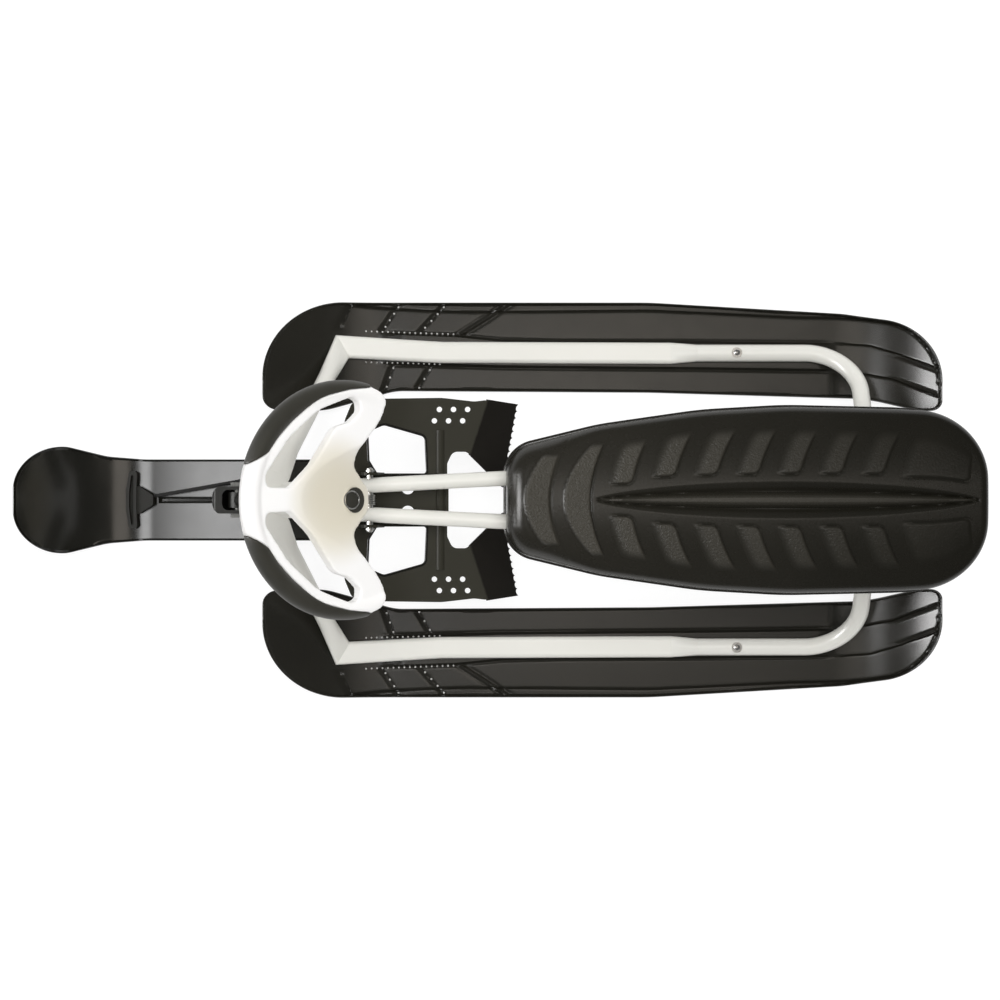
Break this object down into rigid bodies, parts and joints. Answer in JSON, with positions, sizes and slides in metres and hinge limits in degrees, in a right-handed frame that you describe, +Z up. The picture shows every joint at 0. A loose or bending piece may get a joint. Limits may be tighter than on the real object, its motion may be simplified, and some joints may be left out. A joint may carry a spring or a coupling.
{
  "type": "steerable sled",
  "caption": "Steerable snow sled: bent white tube frame on twin rear skis, long moulded seat, raked steering wheel turning a front ski, and a pedal-plate foot brake.",
  "frame": {"origin": "centre of the footprint on the floor, under the middle of the overall box", "axes": "+X forward to the front ski's nose, +Y to the rider's left, +Z up"},
  "size_m": [1.164, 0.492, 0.368],
  "materials": {
    "frame_white": "satin paint",
    "wheel_white": "satin",
    "ski_black": "gloss",
    "seat_black": "grained",
    "grip_black": "soft matt",
    "brake_black": "satin paint",
    "bracket_black": "moulded",
    "zinc_steel": "zinc plated",
    "cord_black": "braided"
  },
  "bodies": {
    "frame": {"head_tube": "frame_white", "lower_bush": "bracket_black", "upper_bush": "bracket_black", "side_tube_left": "frame_white", "side_tube_right": "frame_white", "rear_arch": "frame_white", "seat_tube_left": "frame_white", "seat_tube_right": "frame_white", "brake_pivot_rod": "zinc_steel", "brake_spring": "zinc_steel", "seat": "seat_black", "rear_ski_left": "ski_black", "rear_ski_right": "ski_black"},
    "steering": {"steering_column": "frame_white", "steering_wheel": "wheel_white", "wheel_grip_left": "grip_black", "wheel_grip_right": "grip_black", "wheel_hub_cap": "grip_black", "column_eye": "bracket_black"},
    "front_ski": {"front_ski": "ski_black", "ski_bracket": "bracket_black", "ski_pivot_bolt": "zinc_steel", "tow_handle": "bracket_black", "tow_cord": "cord_black", "cord_reel": "bracket_black"},
    "brake": {"brake_plate": "brake_black"}
  },
  "joints": [
    {"name": "steering_turn", "type": "hinge", "parent": "frame", "child": "steering", "pos_m": [0.308, 0, 0.06], "axis": [-0.5878, 0, 0.809], "range_deg": [-28, 28]},
    {"name": "front_ski_pitch", "type": "hinge", "parent": "steering", "child": "front_ski", "pos_m": [0.308, 0, 0.06], "axis": [0, 1, 0], "range_deg": [-10, 10]},
    {"name": "brake_press", "type": "hinge", "parent": "frame", "child": "brake", "pos_m": [0.142, 0, 0.142], "axis": [0, -1, 0], "range_deg": [0, 20], "stiffness_Nm_per_rad": 2.5, "springref_deg": -34.38}
  ]
}
